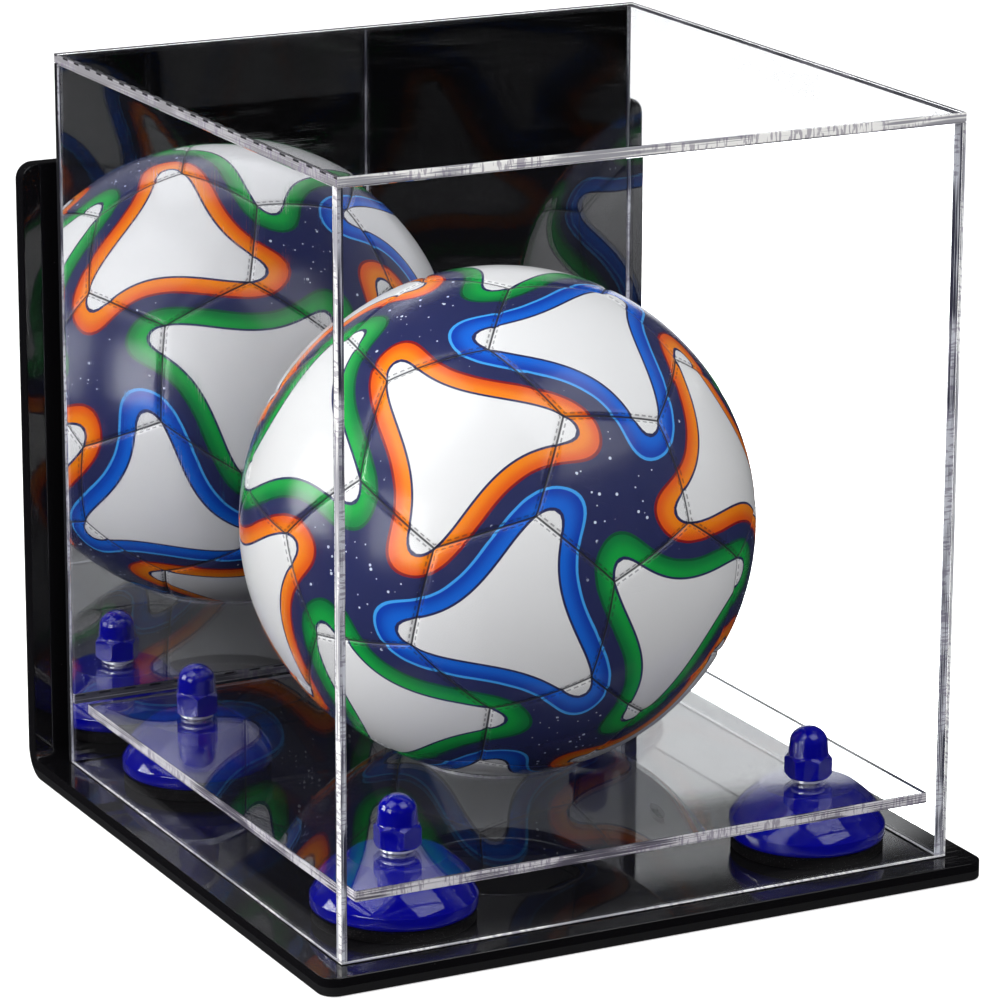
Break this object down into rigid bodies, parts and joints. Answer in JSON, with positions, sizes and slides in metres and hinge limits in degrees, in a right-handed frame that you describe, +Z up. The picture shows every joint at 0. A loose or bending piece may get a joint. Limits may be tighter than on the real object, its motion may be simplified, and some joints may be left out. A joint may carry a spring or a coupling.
{
  "type": "soccer ball display case",
  "caption": "Clear display case with a mirrored back on a bent black sheet; inside, a ball sits in the round hole of a clear riser plate on bell-shaped feet.",
  "frame": {"origin": "under the middle of the whole case, on the plane that the base stands on", "axes": "+Z up, -Y towards the front, +Y towards the wall plate, +X to the right seen from the front"},
  "size_m": [0.312, 0.314, 0.332],
  "materials": {
    "black_acrylic": "high gloss black acrylic sheet",
    "clear_acrylic": "clear polished acrylic with bright edges",
    "mirror": "silvered acrylic mirror with a black edge",
    "black_foam": "matte black foam",
    "blue_gloss": "glossy royal blue",
    "bright_steel": "bright plated steel",
    "ball_panels": "semi-gloss synthetic leather, white and navy panels",
    "black_rubber": "matte black rubber"
  },
  "bodies": {
    "base": {"wall_base": "black_acrylic"},
    "cover": {"cover_front": "clear_acrylic", "cover_left": "clear_acrylic", "cover_right": "clear_acrylic", "cover_top": "clear_acrylic", "mirror_back": "mirror"},
    "riser": {"riser_plate": "clear_acrylic", "foot_pad_front_left": "black_foam", "foot_pad_front_right": "black_foam", "foot_pad_back_left": "black_foam", "foot_pad_back_right": "black_foam", "foot_bell_front_left": "blue_gloss", "foot_bell_front_right": "blue_gloss", "foot_bell_back_left": "blue_gloss", "foot_bell_back_right": "blue_gloss", "foot_bolt_front_left": "bright_steel", "foot_bolt_front_right": "bright_steel", "foot_bolt_back_left": "bright_steel", "foot_bolt_back_right": "bright_steel", "foot_washer_front_left": "bright_steel", "foot_washer_front_right": "bright_steel", "foot_washer_back_left": "bright_steel", "foot_washer_back_right": "bright_steel", "foot_nut_front_left": "blue_gloss", "foot_nut_front_right": "blue_gloss", "foot_nut_back_left": "blue_gloss", "foot_nut_back_right": "blue_gloss"},
    "ball": {"ball_casing": "ball_panels", "ball_bladder": "black_rubber", "ball_valve": "black_rubber"}
  },
  "joints": [
    {"name": "cover_lift", "type": "slide", "parent": "base", "child": "cover", "axis": [0, 0, 1], "range_m": [0, 0.34]},
    {"name": "riser_lift", "type": "slide", "parent": "base", "child": "riser", "axis": [0, 0, 1], "range_m": [0, 0.03]},
    {"name": "ball_lift", "type": "slide", "parent": "riser", "child": "ball", "axis": [0, 0, 1], "range_m": [0, 0.04]}
  ]
}
